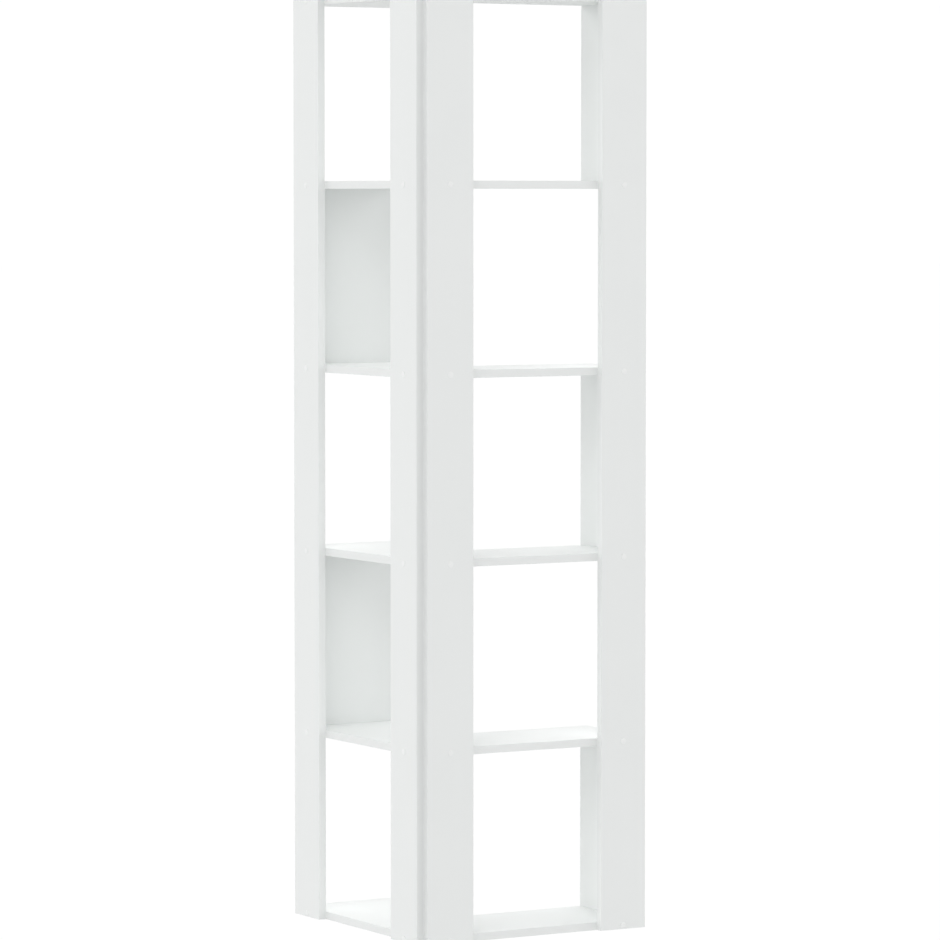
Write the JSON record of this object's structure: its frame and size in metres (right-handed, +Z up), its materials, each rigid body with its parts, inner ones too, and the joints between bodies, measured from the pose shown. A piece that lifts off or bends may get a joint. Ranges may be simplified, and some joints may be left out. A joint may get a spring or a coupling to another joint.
{
  "type": "corner bookcase",
  "caption": "Tall open corner bookcase: L-shaped shelves between flat uprights, with short end panels that change sides from one compartment to the next.",
  "frame": {"origin": "middle of the box that holds the whole bookcase, on the floor under it", "axes": "+Z up, +X along the right-hand side away from the near corner, +Y along the left-hand side away from the near corner; the open inside of the L faces +X and +Y"},
  "size_m": [0.501, 0.501, 1.8],
  "materials": {
    "white_board": "satin white melamine foil on chipboard",
    "edge_band": "satin white plastic edge band",
    "cap_plastic": "smooth white moulded plastic",
    "screw_steel": "bright zinc plate",
    "dowel_wood": "plain beech"
  },
  "bodies": {
    "root": {"left_far_upright": "white_board", "left_far_upright_band": "edge_band", "left_far_screws": "screw_steel", "left_far_caps": "cap_plastic", "left_far_dowels": "dowel_wood", "left_corner_upright": "white_board", "left_corner_upright_band": "edge_band", "left_corner_screws": "screw_steel", "left_corner_caps": "cap_plastic", "left_corner_dowels": "dowel_wood", "right_corner_upright": "white_board", "right_corner_upright_band": "edge_band", "right_corner_screws": "screw_steel", "right_corner_caps": "cap_plastic", "right_corner_dowels": "dowel_wood", "right_far_upright": "white_board", "right_far_upright_band": "edge_band", "right_far_screws": "screw_steel", "right_far_caps": "cap_plastic", "right_far_dowels": "dowel_wood", "bottom_shelf": "white_board", "bottom_shelf_band": "edge_band", "second_shelf": "white_board", "second_shelf_band": "edge_band", "third_shelf": "white_board", "third_shelf_band": "edge_band", "fourth_shelf": "white_board", "fourth_shelf_band": "edge_band", "fifth_shelf": "white_board", "fifth_shelf_band": "edge_band", "top_shelf": "white_board", "top_shelf_band": "edge_band", "bottom_end_panel": "white_board", "bottom_end_panel_band": "edge_band", "bottom_end_panel_dowels": "dowel_wood", "second_end_panel": "white_board", "second_end_panel_band": "edge_band", "second_end_panel_dowels": "dowel_wood", "third_end_panel": "white_board", "third_end_panel_band": "edge_band", "third_end_panel_dowels": "dowel_wood", "fourth_end_panel": "white_board", "fourth_end_panel_band": "edge_band", "fourth_end_panel_dowels": "dowel_wood", "top_end_panel": "white_board", "top_end_panel_band": "edge_band", "top_end_panel_dowels": "dowel_wood"}
  },
  "joints": []
}
